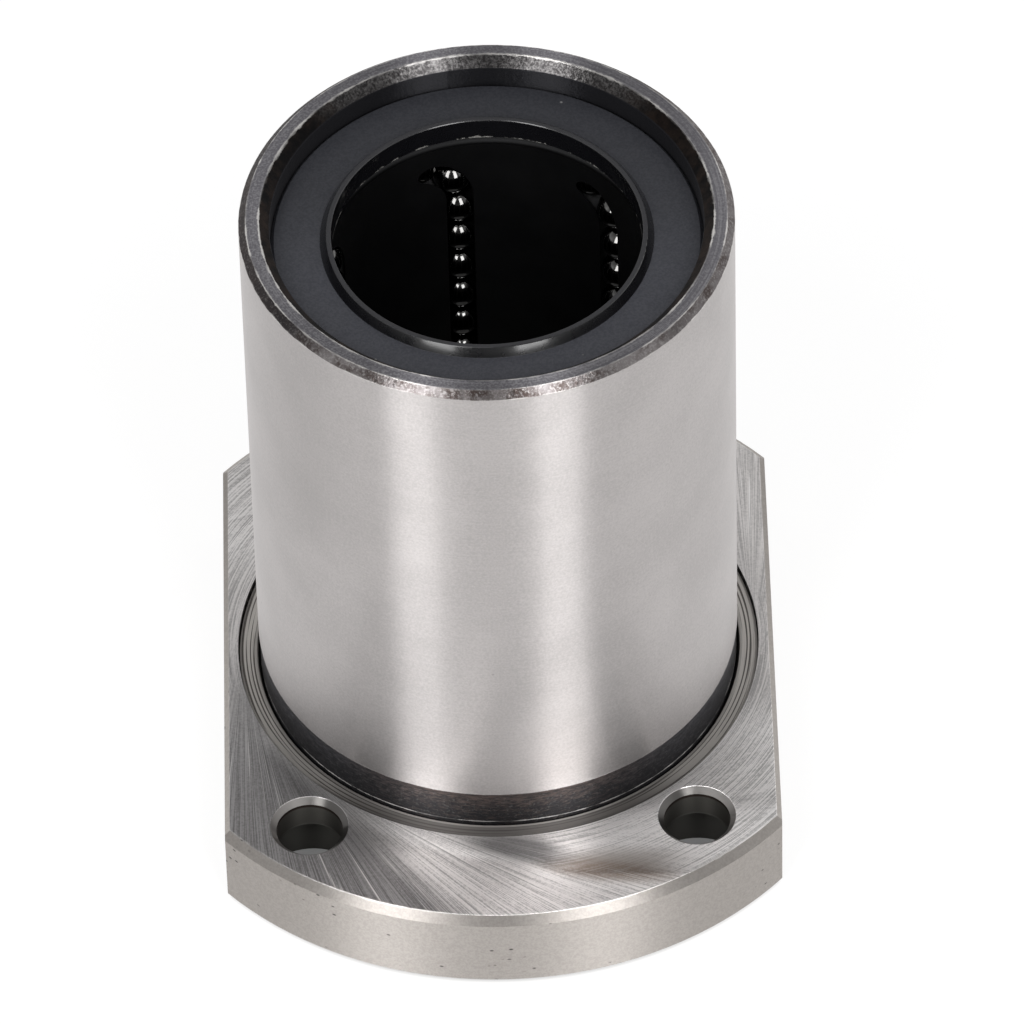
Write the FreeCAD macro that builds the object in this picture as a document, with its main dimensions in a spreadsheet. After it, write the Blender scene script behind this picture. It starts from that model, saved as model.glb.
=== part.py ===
import FreeCAD, Part
import math
import os
import Sketcher

# Flanged linear ball bearing. +Z is the shaft axis, the origin is the centre of the flange's end face,
# and the flange's two flats face +X and -X. Lengths are in millimetres, angles in degrees.

DIMENSIONS = {
    # Shaft, balls and ball circuits
    "shaft_dia": 25,
    "shaft_clearance": 0.02,        # between the shaft and the loaded balls
    "ball_dia": 3.175,
    "ball_gap": 0.215,              # between neighbouring balls of a straight row
    "turn_ball_count": 3,           # balls in each turn of a circuit
    "circuit_count": 6,
    "circuit_phase": 99.5,          # direction of the first loaded row, from +X
    # Sleeve
    "sleeve_length": 59,
    "sleeve_wall": 2.5,             # round the end bores
    "raceway_clearance": 0.05,      # between the loaded balls and the raceway land
    "channel_clearance": 0.15,      # round the return balls in their channels
    "turn_clearance": 0.39,         # between the turning balls and the end bores
    "rim_chamfer": 0.6,             # outer edge of both rims
    "mouth_chamfer": 0.85,          # inner edge of both rims
    "neck_width": 3.2,              # unground band beside the flange
    "neck_undercut": 0.1,
    "neck_taper": 0.6,              # run-out from the ground length into the neck
    # Ball retainer
    "retainer_shaft_gap": 0.4,
    "retainer_sleeve_gap": 0.2,
    "retainer_end_wall": 0.8,       # least wall beyond the turns
    "track_clearance": 0.1,         # round the balls in the tracks
    "end_play": 0.1,                # beside each retainer shoulder
    # Retaining rings
    "ring_thickness": 1,
    "ring_width": 2.4,
    "ring_groove_depth": 0.55,
    "ring_seat_gap": 0.05,
    "ring_opening": 24,             # angle of the gap between the ring's ends
    # Seals
    "rim_recess": 2.58,             # from the rim down to the seal's face
    "seal_thickness": 1.2,
    "seal_gap": 0.05,
    "seal_edge": 0.25,
    "lip_clearance": 0.05,          # between the shaft and the lip
    "lip_height": 0.75,
    "lip_base_width": 0.95,
    "lip_top_width": 0.42,
    "lip_round": 0.15,
    # Flange
    "flange_thickness": 8,
    "flange_rim": 11,               # from the sleeve out to the flange's round ends
    "flat_overhang": 3,             # from the sleeve out to the flats
    "press_gap": 0.03,
    "arc_chamfer": 0.7,
    "flat_chamfer": 0.45,
    "bore_edge": 0.3,
    "relief_width": 1.85,           # turned recess round the sleeve's foot
    "relief_depth": 0.4,
    "relief_groove_width": 0.3,
    "relief_groove_depth": 0.2,
    # Bolt holes
    "bolt_edge_x": 7,               # from the flats to the hole centres
    "bolt_edge_y": 11,              # from the flange's round ends to the hole centres
    "bolt_hole_dia": 5.5,
    "bolt_hole_chamfer": 0.5,
    "counterbore_dia": 9,
    "counterbore_depth": 5.1,
}

doc = FreeCAD.newDocument("flanged_linear_bearing")
sizes = doc.addObject("Spreadsheet::Sheet", "sizes")
for row, (alias, size) in enumerate(DIMENSIONS.items(), 1):
    sizes.set(f"A{row}", alias)
    sizes.set(f"B{row}", str(size))
    sizes.setAlias(f"B{row}", alias)
doc.recompute()

Z_AXIS = FreeCAD.Vector(0, 0, 1)
MATCH = 1e-4                        # tolerance when an edge is looked up by its size


def value(formula):
    return float(sizes.evalExpression(formula))


# Formulas of the ball circuit
ball_radius = "(sizes.ball_dia / 2)"
pitch = "(sizes.ball_dia + sizes.ball_gap)"
turn_radius = f"(sizes.turn_ball_count * {pitch} / pi)"
row_radius = f"(sizes.shaft_dia / 2 + sizes.shaft_clearance + {ball_radius})"
return_offset = f"(2 * {turn_radius})"
return_radius = f"sqrt({row_radius} ^ 2 + {return_offset} ^ 2)"
track_radius = f"({ball_radius} + sizes.track_clearance)"

# Formulas of the lengths, all measured from the middle of the sleeve
middle = "(sizes.sleeve_length / 2)"
seal_face = f"({middle} - sizes.rim_recess)"
seal_foot = f"({seal_face} - sizes.seal_thickness)"
ring_top = f"({seal_foot} - sizes.seal_gap)"
ring_foot = f"({ring_top} - sizes.ring_thickness)"
retainer_end = f"({ring_foot} - sizes.end_play)"
room_for_row = f"({retainer_end} - sizes.retainer_end_wall - {turn_radius} - {track_radius})"
row_ball_count = math.floor(2 * value(f"{room_for_row} / {pitch}"))
row_half = f"({row_ball_count} * {pitch} / 2)"

# Formulas of the radii
land_radius = f"({row_radius} + {ball_radius} + sizes.raceway_clearance)"
end_bore_radius = f"({return_radius} + {ball_radius} + sizes.turn_clearance)"
groove_radius = f"({end_bore_radius} + sizes.ring_groove_depth)"
sleeve_radius = f"({end_bore_radius} + sizes.sleeve_wall)"
neck_radius = f"({sleeve_radius} - sizes.neck_undercut)"
lip_radius = "(sizes.shaft_dia / 2 + sizes.lip_clearance)"
flange_bore_radius = f"({neck_radius} + sizes.press_gap)"
flange_radius = f"({sleeve_radius} + sizes.flange_rim)"
flat_distance = f"({sleeve_radius} + sizes.flat_overhang)"


def above(offset):
    return f"({middle} + {offset})"


def below(offset):
    return f"({middle} - {offset})"


def new_body(label):
    body = doc.addObject("PartDesign::Body", label)
    body.Label = label
    return body


def origin_feature(body, role):
    return next(item for item in body.Origin.OriginFeatures if item.Role == role)


def new_sketch(body, name, plane, distance=None):
    sketch = body.newObject("Sketcher::SketchObject", name)
    sketch.AttachmentSupport = [(origin_feature(body, plane), "")]
    sketch.MapMode = "FlatFace"
    if distance:
        sketch.setExpression("AttachmentOffset.Base.z", distance)
    return sketch


def set_datum(sketch, constraint, formula):
    index = sketch.addConstraint(constraint)
    sketch.setExpression(f"Constraints[{index}]", formula)


def fix_point(sketch, geometry, point, across, up):
    from_left = Sketcher.Constraint("DistanceX", -1, 1, geometry, point, value(across))
    set_datum(sketch, from_left, across)
    from_below = Sketcher.Constraint("DistanceY", -1, 1, geometry, point, value(up))
    set_datum(sketch, from_below, up)


def add_outline(sketch, corners):
    # Closed outline of straight sides, every corner placed by its two formulas
    places = [FreeCAD.Vector(value(across), value(up), 0) for across, up in corners]
    first = sketch.GeometryCount
    sides = len(corners)
    for side in range(sides):
        line = Part.LineSegment(places[side], places[(side + 1) % sides])
        sketch.addGeometry(line, False)
    for side in range(sides):
        following = first + (side + 1) % sides
        sketch.addConstraint(Sketcher.Constraint("Coincident", first + side, 2, following, 1))
    for side, (across, up) in enumerate(corners):
        fix_point(sketch, first + side, 1, across, up)


def add_circle(sketch, across, up, radius):
    centre = FreeCAD.Vector(value(across), value(up), 0)
    circle = sketch.addGeometry(Part.Circle(centre, Z_AXIS, value(radius)), False)
    fix_point(sketch, circle, 3, across, up)
    set_datum(sketch, Sketcher.Constraint("Radius", circle, value(radius)), radius)


def add_stadium(sketch, margin):
    # The ball circuit's flat loop, widened on both sides by the margin
    bend = f"({turn_radius} + {margin})"
    left = f"({turn_radius} - {bend})"
    right = f"({turn_radius} + {bend})"
    low = below(row_half)
    high = above(row_half)
    corners = [(left, low), (left, high), (right, high), (right, low)]
    places = [FreeCAD.Vector(value(across), value(up), 0) for across, up in corners]
    up_line = sketch.addGeometry(Part.LineSegment(places[0], places[1]), False)
    top_circle = Part.Circle(FreeCAD.Vector(value(turn_radius), value(high), 0), Z_AXIS, value(bend))
    top_arc = sketch.addGeometry(Part.ArcOfCircle(top_circle, 0, math.pi), False)
    down_line = sketch.addGeometry(Part.LineSegment(places[2], places[3]), False)
    low_circle = Part.Circle(FreeCAD.Vector(value(turn_radius), value(low), 0), Z_AXIS, value(bend))
    low_arc = sketch.addGeometry(Part.ArcOfCircle(low_circle, math.pi, 2 * math.pi), False)
    joints = [
        (up_line, 2, top_arc, 2),
        (top_arc, 1, down_line, 1),
        (down_line, 2, low_arc, 2),
        (low_arc, 1, up_line, 1),
    ]
    for joint in joints:
        sketch.addConstraint(Sketcher.Constraint("Coincident", *joint))
    for line, start, end in ((up_line, 0, 1), (down_line, 2, 3)):
        fix_point(sketch, line, 1, *corners[start])
        fix_point(sketch, line, 2, *corners[end])
    for arc, height in ((top_arc, high), (low_arc, low)):
        set_datum(sketch, Sketcher.Constraint("DistanceY", -1, 1, arc, 3, value(height)), height)


def revolve(body, sketch, angle="360"):
    turned = body.newObject("PartDesign::Revolution", f"{body.Name}_turned")
    turned.Profile = sketch
    turned.ReferenceAxis = (sketch, ["V_Axis"])
    turned.setExpression("Angle", angle)
    return turned


def pocket(body, sketch, depth, upwards=True):
    cut = body.newObject("PartDesign::Pocket", f"{sketch.Name}_cut")
    cut.Profile = sketch
    cut.Reversed = upwards
    cut.setExpression("Length", depth)
    return cut


def repeat_round(body, features):
    pattern = body.newObject("PartDesign::PolarPattern", f"{body.Name}_circuits")
    pattern.Originals = features
    pattern.Axis = (origin_feature(body, "Z_Axis"), [""])
    pattern.Angle = 360
    pattern.setExpression("Occurrences", "sizes.circuit_count")
    body.Tip = pattern


def turn_to_circuit(item, number):
    # Turns a piece about the shaft axis from +X to the numbered circuit
    item.Placement = FreeCAD.Placement(FreeCAD.Vector(), FreeCAD.Rotation(Z_AXIS, 1))
    angle = f"sizes.circuit_phase + {number} * 360 / sizes.circuit_count"
    item.setExpression("Placement.Rotation.Angle", angle)


def turn_over(item):
    # Turns a piece of the free end upside down into the flange end
    item.Placement = FreeCAD.Placement(FreeCAD.Vector(), FreeCAD.Rotation(FreeCAD.Vector(1, 0, 0), 180))
    item.setExpression("Placement.Base.z", "sizes.sleeve_length")


def circle_edges(feature, radius, height):
    doc.recompute()
    names = []
    for number, edge in enumerate(feature.Shape.Edges, 1):
        curve = edge.Curve
        if not isinstance(curve, Part.Circle):
            continue
        if abs(curve.Radius - value(radius)) < MATCH and abs(curve.Center.z - value(height)) < MATCH:
            names.append(f"Edge{number}")
    return names


def dress_edges(body, kind, base, edges, size_name, formula):
    dressed = body.newObject(f"PartDesign::{kind}", f"{base.Name}_{kind.lower()}")
    dressed.Base = (base, edges)
    dressed.setExpression(size_name, formula)
    return dressed


def make_sleeve():
    body = new_body("outer_sleeve")
    turn_to_circuit(body, 0)
    section = new_sketch(body, "sleeve_section", "XZ_Plane")
    neck_end = "(sizes.flange_thickness + sizes.neck_width)"
    groove_top = f"({ring_top} + sizes.ring_seat_gap)"
    groove_foot = f"({ring_foot} - sizes.ring_seat_gap)"
    mouth_radius = f"({end_bore_radius} + sizes.mouth_chamfer)"
    outside = [
        (f"{neck_radius} - sizes.rim_chamfer", "0"),
        (neck_radius, "sizes.rim_chamfer"),
        (neck_radius, f"{neck_end} - sizes.neck_taper"),
        (sleeve_radius, neck_end),
        (sleeve_radius, "sizes.sleeve_length - sizes.rim_chamfer"),
        (f"{sleeve_radius} - sizes.rim_chamfer", "sizes.sleeve_length"),
    ]
    # The bore's steps from the middle out to a rim, the same at both ends
    bore_steps = [
        (land_radius, row_half),
        (end_bore_radius, row_half),
        (end_bore_radius, groove_foot),
        (groove_radius, groove_foot),
        (groove_radius, groove_top),
        (end_bore_radius, groove_top),
        (end_bore_radius, f"({middle} - sizes.mouth_chamfer)"),
        (mouth_radius, middle),
    ]
    bore_above = [(radius, above(step)) for radius, step in reversed(bore_steps)]
    bore_below = [(radius, below(step)) for radius, step in bore_steps]
    add_outline(section, outside + bore_above + bore_below)
    revolve(body, section)
    channel = new_sketch(body, "return_channel", "XY_Plane")
    add_circle(channel, row_radius, return_offset, f"({ball_radius} + sizes.channel_clearance)")
    channel_cut = pocket(body, channel, "sizes.sleeve_length")
    repeat_round(body, [channel_cut])
    return body


def make_flange():
    body = new_body("mounting_flange")
    section = new_sketch(body, "flange_section", "XZ_Plane")
    top = "sizes.flange_thickness"
    relief_floor = f"({top} - sizes.relief_depth)"
    relief_radius = f"({flange_bore_radius} + sizes.relief_width)"
    bore_mouth = f"({flange_bore_radius} + sizes.bore_edge)"
    add_outline(section, [
        (bore_mouth, "0"),
        (f"{flange_radius} - sizes.arc_chamfer", "0"),
        (flange_radius, "sizes.arc_chamfer"),
        (flange_radius, f"{top} - sizes.arc_chamfer"),
        (f"{flange_radius} - sizes.arc_chamfer", top),
        (relief_radius, top),
        (relief_radius, f"{relief_floor} - sizes.relief_groove_depth"),
        (f"{relief_radius} - sizes.relief_groove_width", relief_floor),
        (bore_mouth, relief_floor),
        (flange_bore_radius, f"{relief_floor} - sizes.bore_edge"),
        (flange_bore_radius, "sizes.bore_edge"),
    ])
    revolve(body, section)
    flats = new_sketch(body, "flange_flats", "XZ_Plane")
    edge_distance = f"({flat_distance} - sizes.flat_chamfer)"
    for sign in ("", "-"):
        add_outline(flats, [
            (f"{sign}{edge_distance}", "0"),
            (f"{sign}{flat_distance}", "sizes.flat_chamfer"),
            (f"{sign}{flat_distance}", f"{top} - sizes.flat_chamfer"),
            (f"{sign}{edge_distance}", top),
            (f"{sign}{flange_radius}", top),
            (f"{sign}{flange_radius}", "0"),
        ])
    flats_cut = pocket(body, flats, f"2 * {flange_radius}")
    flats_cut.Midplane = True
    holes = new_sketch(body, "bolt_holes", "XY_Plane")
    counterbores = new_sketch(body, "counterbores", "XY_Plane")
    hole_radius = "(sizes.bolt_hole_dia / 2)"
    counterbore_radius = "(sizes.counterbore_dia / 2)"
    hole_x = f"({flat_distance} - sizes.bolt_edge_x)"
    hole_y = f"({flange_radius} - sizes.bolt_edge_y)"
    for sign_x in ("", "-"):
        for sign_y in ("", "-"):
            add_circle(holes, f"{sign_x}{hole_x}", f"{sign_y}{hole_y}", hole_radius)
            add_circle(counterbores, f"{sign_x}{hole_x}", f"{sign_y}{hole_y}", counterbore_radius)
    pocket(body, holes, top)
    counterbore_cut = pocket(body, counterbores, "sizes.counterbore_depth")
    hole_edges = circle_edges(counterbore_cut, hole_radius, top)
    dress_edges(body, "Chamfer", counterbore_cut, hole_edges, "Size", "sizes.bolt_hole_chamfer")
    return body


def make_retainer():
    body = new_body("ball_retainer")
    turn_to_circuit(body, 0)
    section = new_sketch(body, "retainer_section", "XZ_Plane")
    inside = "(sizes.shaft_dia / 2 + sizes.retainer_shaft_gap)"
    waist = f"({land_radius} - sizes.retainer_sleeve_gap)"
    collar = f"({end_bore_radius} - sizes.retainer_sleeve_gap)"
    shoulder = f"({row_half} + sizes.end_play)"
    add_outline(section, [
        (inside, below(retainer_end)),
        (collar, below(retainer_end)),
        (collar, below(shoulder)),
        (waist, below(shoulder)),
        (waist, above(shoulder)),
        (collar, above(shoulder)),
        (collar, above(retainer_end)),
        (inside, above(retainer_end)),
    ])
    revolve(body, section)
    loop = new_sketch(body, "track_loop", "YZ_Plane", row_radius)
    add_stadium(loop, "0")
    ball_outline = new_sketch(body, "track_ball_outline", "XY_Plane", middle)
    add_circle(ball_outline, row_radius, "0", track_radius)
    tunnel = body.newObject("PartDesign::SubtractivePipe", "track_tunnel")
    tunnel.Profile = ball_outline
    tunnel.Spine = (loop, [])
    mouth = new_sketch(body, "track_mouth", "YZ_Plane", row_radius)
    add_stadium(mouth, track_radius)
    add_stadium(mouth, f"(-{track_radius})")
    mouth_cut = pocket(body, mouth, collar)
    repeat_round(body, [tunnel, mouth_cut])
    return body


def make_seal(label):
    body = new_body(label)
    section = new_sketch(body, f"{label}_section", "XZ_Plane")
    rim = f"({end_bore_radius} - sizes.seal_gap)"
    face = above(seal_face)
    lip_top = f"({face} + sizes.lip_height)"
    lip_shoulder = f"({lip_radius} + sizes.lip_top_width)"
    add_outline(section, [
        (lip_radius, above(seal_foot)),
        (rim, above(seal_foot)),
        (rim, f"{face} - sizes.seal_edge"),
        (f"{rim} - sizes.seal_edge", face),
        (f"{lip_radius} + sizes.lip_base_width", face),
        (lip_shoulder, lip_top),
        (lip_radius, lip_top),
    ])
    turned = revolve(body, section)
    crest_edges = circle_edges(turned, lip_shoulder, lip_top) + circle_edges(turned, lip_radius, lip_top)
    dress_edges(body, "Fillet", turned, crest_edges, "Radius", "sizes.lip_round")
    return body


def make_retaining_ring(label):
    body = new_body(label)
    section = new_sketch(body, f"{label}_section", "XZ_Plane")
    outside = f"({groove_radius} - sizes.ring_seat_gap)"
    inside = f"({outside} - sizes.ring_width)"
    add_outline(section, [
        (inside, above(ring_foot)),
        (outside, above(ring_foot)),
        (outside, above(ring_top)),
        (inside, above(ring_top)),
    ])
    revolve(body, section, "360 - sizes.ring_opening")
    return body


def make_ball(name, across, up):
    ball = doc.addObject("Part::Sphere", name)
    ball.setExpression("Radius", ball_radius)
    ball.setExpression("Placement.Base.x", row_radius)
    ball.setExpression("Placement.Base.y", across)
    ball.setExpression("Placement.Base.z", up)
    return ball


def make_row(name, across):
    steps = [f"{number} - {row_ball_count - 1} / 2" for number in range(row_ball_count)]
    return [
        make_ball(f"{name}_{number}", across, above(f"({step}) * {pitch}"))
        for number, step in enumerate(steps, 1)
    ]


def make_turn(name, side):
    balls = []
    for number in range(round(sizes.turn_ball_count)):
        angle = f"({number} + 0.5) * 180 / sizes.turn_ball_count"
        across = f"{turn_radius} * (1 - cos({angle}))"
        along = f"({row_half} + {turn_radius} * sin({angle}))"
        balls.append(make_ball(f"{name}_{number + 1}", across, side(along)))
    return balls


def make_ball_groups():
    # The balls of one circuit, shared by the groups of all circuits
    circuit = {
        "loaded_balls": make_row("loaded_ball", "0"),
        "return_balls": make_row("return_ball", return_offset),
        "upper_turn_balls": make_turn("upper_turn_ball", above),
        "lower_turn_balls": make_turn("lower_turn_ball", below),
    }
    groups = []
    for number in range(round(sizes.circuit_count)):
        for kind, balls in circuit.items():
            group = doc.addObject("Part::Compound", f"{kind}_{number + 1}")
            group.Label = f"{kind}_{number + 1}"
            group.Links = balls
            turn_to_circuit(group, number)
            groups.append(group)
    return groups


pieces = [
    make_sleeve(),
    make_flange(),
    make_retainer(),
    make_seal("upper_seal"),
    make_seal("lower_seal"),
    make_retaining_ring("upper_retaining_ring"),
    make_retaining_ring("lower_retaining_ring"),
]
for piece in pieces:
    if piece.Label.startswith("lower_"):
        turn_over(piece)
pieces += make_ball_groups()
doc.recompute()

for item in doc.Objects:
    if "Invalid" in item.State or "Error" in item.State:
        raise RuntimeError(f"{item.Label} failed: {item.State}")
for piece in pieces:
    if piece.Shape.isNull() or not piece.Shape.isValid():
        raise RuntimeError(f"{piece.Label} has no valid shape")

os.makedirs("parts", exist_ok=True)
for piece in pieces:
    piece.Shape.exportStep(f"parts/{piece.Label}.step")
    print(piece.Label, len(piece.Shape.Solids), round(piece.Shape.Volume, 2), piece.Shape.BoundBox)
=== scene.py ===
import bpy
import math
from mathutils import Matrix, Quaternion, Vector

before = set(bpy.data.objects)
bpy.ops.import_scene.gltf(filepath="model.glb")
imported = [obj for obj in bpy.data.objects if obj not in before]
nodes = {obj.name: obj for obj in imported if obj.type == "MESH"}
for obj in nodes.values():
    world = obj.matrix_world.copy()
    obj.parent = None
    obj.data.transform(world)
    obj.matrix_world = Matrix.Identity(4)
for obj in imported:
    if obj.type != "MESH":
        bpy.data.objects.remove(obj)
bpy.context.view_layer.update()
scene = bpy.context.scene
scene.view_settings.view_transform = "Standard"
bpy.ops.object.select_all(action="DESELECT")
print("frame loaded:", len(nodes), "pieces")

toMm = 1000.0  # the scene is in metres, the looks below give millimetres
axisX = (1.0, 0.0, 0.0)
axisY = (0.0, 1.0, 0.0)
axisZ = (0.0, 0.0, 1.0)
levelOnly = (1.0, 1.0, 0.0)  # keeps the horizontal part of a vector


# small helpers for building node trees
def feed(tree, socket, value):
    if isinstance(value, bpy.types.NodeSocket):
        tree.links.new(value, socket)
    else:
        socket.default_value = value


def calc(tree, how, *values):
    node = tree.nodes.new("ShaderNodeMath")
    node.operation = how
    for socket, value in zip(node.inputs, values):
        feed(tree, socket, value)
    return node.outputs[0]


def product(tree, first, *others):
    for other in others:
        first = calc(tree, "MULTIPLY", first, other)
    return first


def larger(tree, first, second):
    return calc(tree, "MAXIMUM", first, second)


def oneMinus(tree, value):
    return calc(tree, "SUBTRACT", 1.0, value)


def weighed(tree, *shares):  # sum of values, each times its weight
    parts = [calc(tree, "MULTIPLY", value, weight) for value, weight in shares]
    total = parts[0]
    for part in parts[1:]:
        total = calc(tree, "ADD", total, part)
    return total


def vecCalc(tree, how, *values):
    node = tree.nodes.new("ShaderNodeVectorMath")
    node.operation = how
    for socket, value in zip(node.inputs, values):
        feed(tree, socket, value)
    return node.outputs["Value"] if how in ("LENGTH", "DOT_PRODUCT") else node.outputs["Vector"]


def scaled(tree, vector, by):
    node = tree.nodes.new("ShaderNodeVectorMath")
    node.operation = "SCALE"
    feed(tree, node.inputs[0], vector)
    feed(tree, node.inputs["Scale"], by)
    return node.outputs["Vector"]


def joinXyz(tree, x, y, z):
    node = tree.nodes.new("ShaderNodeCombineXYZ")
    for socket, value in zip(node.inputs, (x, y, z)):
        feed(tree, socket, value)
    return node.outputs[0]


def mmAlong(tree, place, axis):  # how far a place lies along an axis, in millimetres
    return vecCalc(tree, "DOT_PRODUCT", place, tuple(toMm * part for part in axis))


def ramp(tree, value, low, high, least=0.0, most=1.0):  # soft step between two values
    node = tree.nodes.new("ShaderNodeMapRange")
    node.interpolation_type = "SMOOTHSTEP"
    limits = {"Value": value, "From Min": low, "From Max": high, "To Min": least, "To Max": most}
    for name, given in limits.items():
        feed(tree, node.inputs[name], given)
    return node.outputs["Result"]


def band(tree, value, low, high, soft):  # 1 between low and high
    rise = ramp(tree, value, low - soft, low + soft)
    fall = ramp(tree, value, high - soft, high + soft, 1.0, 0.0)
    return product(tree, rise, fall)


def noise(tree, place, scale, detail=3.0, rough=0.5):
    node = tree.nodes.new("ShaderNodeTexNoise")
    feed(tree, node.inputs["Vector"], place)
    feed(tree, node.inputs["Scale"], scale)
    node.inputs["Detail"].default_value = detail
    node.inputs["Roughness"].default_value = rough
    return node.outputs["Fac"]


def blendColor(tree, share, first, second):
    node = tree.nodes.new("ShaderNodeMix")
    node.data_type = "RGBA"
    feed(tree, node.inputs["Factor"], share)
    feed(tree, node.inputs["A"], first)
    feed(tree, node.inputs["B"], second)
    return node.outputs["Result"]


def blendValue(tree, share, first, second):
    node = tree.nodes.new("ShaderNodeMix")
    feed(tree, node.inputs["Factor"], share)
    feed(tree, node.inputs["A"], first)
    feed(tree, node.inputs["B"], second)
    return node.outputs["Result"]


def newGroup(name, inputs, outputs):
    tree = bpy.data.node_groups.new(name, "ShaderNodeTree")
    for label, kind in inputs.items():
        tree.interface.new_socket(label, in_out="INPUT", socket_type=f"NodeSocket{kind}")
    for label, kind in outputs.items():
        tree.interface.new_socket(label, in_out="OUTPUT", socket_type=f"NodeSocket{kind}")
    return tree, tree.nodes.new("NodeGroupInput").outputs, tree.nodes.new("NodeGroupOutput").inputs


def useGroup(tree, group, **values):
    node = tree.nodes.new("ShaderNodeGroup")
    node.node_tree = group
    for name, value in values.items():
        feed(tree, node.inputs[name], value)
    return node.outputs


def newFinish(name, **fixed):  # one Principled material, with its constants on the shader
    finish = bpy.data.materials.new(name)
    finish.use_nodes = True
    tree = finish.node_tree
    shader = next(node for node in tree.nodes if node.type == "BSDF_PRINCIPLED")
    for label, value in fixed.items():
        shader.inputs[label.replace("_", " ")].default_value = value
    place = tree.nodes.new("ShaderNodeTexCoord").outputs["Object"]
    return finish, tree, shader.inputs, place


def bumpFrom(tree, height, strength, distance):
    node = tree.nodes.new("ShaderNodeBump")
    node.inputs["Strength"].default_value = strength
    node.inputs["Distance"].default_value = distance
    tree.links.new(height, node.inputs["Height"])
    return node.outputs["Normal"]


def dress(finish, *names):
    for name in names:
        for piece in [o for o in nodes.values() if o.name == name or o.name.startswith(name + "_")]:
            piece.data.materials.clear()
            piece.data.materials.append(finish)


# place on a turned piece: radius and height in millimetres, and the direction round the axis
ringPlace, given, wanted = newGroup(
    "ringPlace", {"Place": "Vector"}, {"Radius": "Float", "Height": "Float", "Round": "Vector"})
inMm = scaled(ringPlace, given["Place"], toMm)
flatPlace = vecCalc(ringPlace, "MULTIPLY", inMm, levelOnly)
feed(ringPlace, wanted["Radius"], vecCalc(ringPlace, "LENGTH", flatPlace))
feed(ringPlace, wanted["Height"], vecCalc(ringPlace, "DOT_PRODUCT", inMm, axisZ))
feed(ringPlace, wanted["Round"], vecCalc(ringPlace, "NORMALIZE", flatPlace))

# worn line along a round edge, strong in some places and faint in others
edgeWear = {
    "chips": (1000.0, 4.0, 0.7), "chipReach": (0.3, 0.72, 0.2, 1.9), "lineEdge": (0.2, 1.0, 1.0, 0.0),
    "fading": (330.0, 3.0), "fadeCut": (0.38, 0.6, 0.12, 1.0),
}
ringEdge, given, wanted = newGroup(
    "ringEdge",
    {"Place": "Vector", "Radius": "Float", "Height": "Float", "At Radius": "Float", "At Height": "Float",
     "Width": "Float"},
    {"Mask": "Float"})
across = calc(ringEdge, "SUBTRACT", given["Radius"], given["At Radius"])
upward = calc(ringEdge, "SUBTRACT", given["Height"], given["At Height"])
nearness = vecCalc(ringEdge, "LENGTH", joinXyz(ringEdge, across, upward, 0.0))
chipping = ramp(ringEdge, noise(ringEdge, given["Place"], *edgeWear["chips"]), *edgeWear["chipReach"])
reach = product(ringEdge, given["Width"], chipping)
line = ramp(ringEdge, calc(ringEdge, "DIVIDE", nearness, reach), *edgeWear["lineEdge"])
fading = ramp(ringEdge, noise(ringEdge, given["Place"], *edgeWear["fading"]), *edgeWear["fadeCut"])
feed(ringEdge, wanted["Mask"], product(ringEdge, line, fading))

# fine lines left by a turning tool, along one measure in millimetres
toolLines = {"stretch": 1.6, "detail": 2.0, "rough": 0.6}
turnedLines, given, wanted = newGroup(
    "turnedLines", {"Along": "Float", "Round": "Vector", "Spacing": "Float"}, {"Lines": "Float"})
steps = joinXyz(turnedLines, 0.0, 0.0, calc(turnedLines, "DIVIDE", given["Along"], given["Spacing"]))
stretched = vecCalc(turnedLines, "ADD", scaled(turnedLines, given["Round"], toolLines["stretch"]), steps)
lines = noise(turnedLines, stretched, 1.0, toolLines["detail"], toolLines["rough"])
feed(turnedLines, wanted["Lines"], lines)

# scratches of a grinding wheel: straight lines that leave a circle round the axis
wheelMarks = {
    "drift": 0.14, "rough": 0.65,
    "spread": {"Scratches": 190.0, "Streaks": 48.0, "Scores": 80.0},
    "detail": {"Scratches": 3.0, "Streaks": 3.0, "Scores": 1.0},
}
grindSwirl, given, wanted = newGroup(
    "grindSwirl", {"Radius": "Float", "Round": "Vector", "Touch": "Float"},
    {"Scratches": "Float", "Streaks": "Float", "Scores": "Float"})
cosine = calc(grindSwirl, "MINIMUM", calc(grindSwirl, "DIVIDE", given["Touch"], given["Radius"]), 1.0)
rotate = grindSwirl.nodes.new("ShaderNodeVectorRotate")
rotate.rotation_type = "Z_AXIS"
feed(grindSwirl, rotate.inputs["Vector"], given["Round"])
feed(grindSwirl, rotate.inputs["Angle"], product(grindSwirl, calc(grindSwirl, "ARCCOSINE", cosine), -1.0))
alongScratch = joinXyz(grindSwirl, 0.0, 0.0, product(grindSwirl, given["Radius"], wheelMarks["drift"]))
for label, spread in wheelMarks["spread"].items():
    scratchPlace = vecCalc(grindSwirl, "ADD", scaled(grindSwirl, rotate.outputs[0], spread), alongScratch)
    scratch = noise(grindSwirl, scratchPlace, 1.0, wheelMarks["detail"][label], wheelMarks["rough"])
    feed(grindSwirl, wanted[label], scratch)

# patchy scale from hardening, with bright flecks and fine grain
scaleSizes = {"patches": (5.0, 0.65), "flecks": (2300.0, 3.0, 0.6), "grain": (5200.0, 2.0, 0.6)}
scaleMottle, given, wanted = newGroup(
    "scaleMottle", {"Place": "Vector", "Patch Scale": "Float"},
    {"Patches": "Float", "Flecks": "Float", "Grain": "Float"})
patches = noise(scaleMottle, given["Place"], given["Patch Scale"], *scaleSizes["patches"])
feed(scaleMottle, wanted["Patches"], patches)
feed(scaleMottle, wanted["Flecks"], noise(scaleMottle, given["Place"], *scaleSizes["flecks"]))
feed(scaleMottle, wanted["Grain"], noise(scaleMottle, given["Place"], *scaleSizes["grain"]))

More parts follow.
